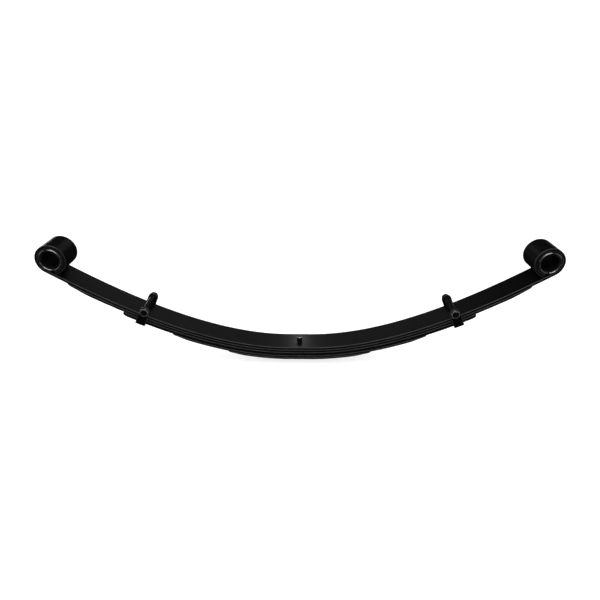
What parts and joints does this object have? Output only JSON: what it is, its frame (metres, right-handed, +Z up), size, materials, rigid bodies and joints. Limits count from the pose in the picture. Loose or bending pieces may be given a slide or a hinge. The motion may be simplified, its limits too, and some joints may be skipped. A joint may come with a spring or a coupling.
{
  "type": "leaf spring",
  "caption": "Multi-leaf suspension spring with upturned bushed eyes, a centre bolt and bolted rebound clips.",
  "frame": {"origin": "on the main leaf's top face, on the centre bolt's axis", "axes": "+X along the spring, +Y towards the rebound clips' nuts, +Z up, from the pack towards the eyes"},
  "size_m": [1.1212, 0.0937, 0.2927],
  "materials": {
    "leaf_paint": "semi-gloss black paint",
    "clip_paint": "satin black paint",
    "bolt_paint": "thin black paint over a phosphated bolt",
    "bush_rubber": "matte black rubber",
    "sleeve_steel": "turned steel",
    "liner_polymer": "dark satin bearing liner"
  },
  "bodies": {
    "leaf_pack": {"main_leaf": "leaf_paint", "second_leaf": "leaf_paint", "third_leaf": "leaf_paint", "fourth_leaf": "leaf_paint", "fifth_leaf": "leaf_paint", "centre_bolt": "bolt_paint", "centre_nut": "bolt_paint"},
    "left_arm": {"left_bush_rubber": "bush_rubber", "left_clip_strap": "clip_paint", "left_clip_bolt": "bolt_paint", "left_clip_nut": "bolt_paint", "left_clip_rivet": "bolt_paint", "left_clip_spacer": "clip_paint"},
    "left_bush_core": {"left_bush_sleeve": "sleeve_steel", "left_bush_liner": "liner_polymer"},
    "right_arm": {"right_bush_rubber": "bush_rubber", "right_clip_strap": "clip_paint", "right_clip_bolt": "bolt_paint", "right_clip_nut": "bolt_paint", "right_clip_rivet": "bolt_paint", "right_clip_spacer": "clip_paint"},
    "right_bush_core": {"right_bush_sleeve": "sleeve_steel", "right_bush_liner": "liner_polymer"}
  },
  "joints": [
    {"name": "left_arm_flex", "type": "hinge", "parent": "leaf_pack", "child": "left_arm", "pos_m": [-0.1875, 0, 0.0087], "axis": [0, -1, 0], "range_deg": [-2, 24], "stiffness_Nm_per_rad": 1800, "deforming": ["main_leaf", "second_leaf", "third_leaf", "fourth_leaf", "fifth_leaf"]},
    {"name": "right_arm_flex", "type": "hinge", "parent": "leaf_pack", "child": "right_arm", "pos_m": [0.1875, 0, 0.0087], "axis": [0, 1, 0], "range_deg": [-2, 24], "stiffness_Nm_per_rad": 1800, "deforming": ["main_leaf", "second_leaf", "third_leaf", "fourth_leaf", "fifth_leaf"]},
    {"name": "left_bush_turn", "type": "hinge", "parent": "left_arm", "child": "left_bush_core", "pos_m": [-0.52792, 0, 0.21314], "axis": [0, 1, 0], "range_deg": [-22, 22], "stiffness_Nm_per_rad": 60},
    {"name": "right_bush_turn", "type": "hinge", "parent": "right_arm", "child": "right_bush_core", "pos_m": [0.52792, 0, 0.21314], "axis": [0, 1, 0], "range_deg": [-22, 22], "stiffness_Nm_per_rad": 60}
  ]
}
